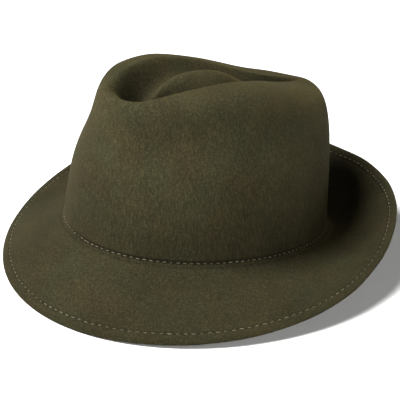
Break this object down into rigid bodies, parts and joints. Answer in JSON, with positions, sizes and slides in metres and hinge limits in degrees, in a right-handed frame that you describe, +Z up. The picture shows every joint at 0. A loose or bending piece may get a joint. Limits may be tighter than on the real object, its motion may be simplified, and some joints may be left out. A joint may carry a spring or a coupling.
{
  "type": "trilby hat",
  "caption": "Soft felt trilby with a teardrop dent and front pinches in the crown, and a narrow brim snapped down in front and turned up behind.",
  "frame": {"origin": "centre of the overall box at floor level, under the hat as it rests on its brim", "axes": "+Z up from the floor, -Y towards the front of the hat, +X towards the wearer's left"},
  "size_m": [0.2784, 0.2898, 0.137],
  "materials": {
    "felt": "matt brushed olive wool felt"
  },
  "bodies": {
    "root": {"felt_body": "felt"}
  },
  "joints": []
}
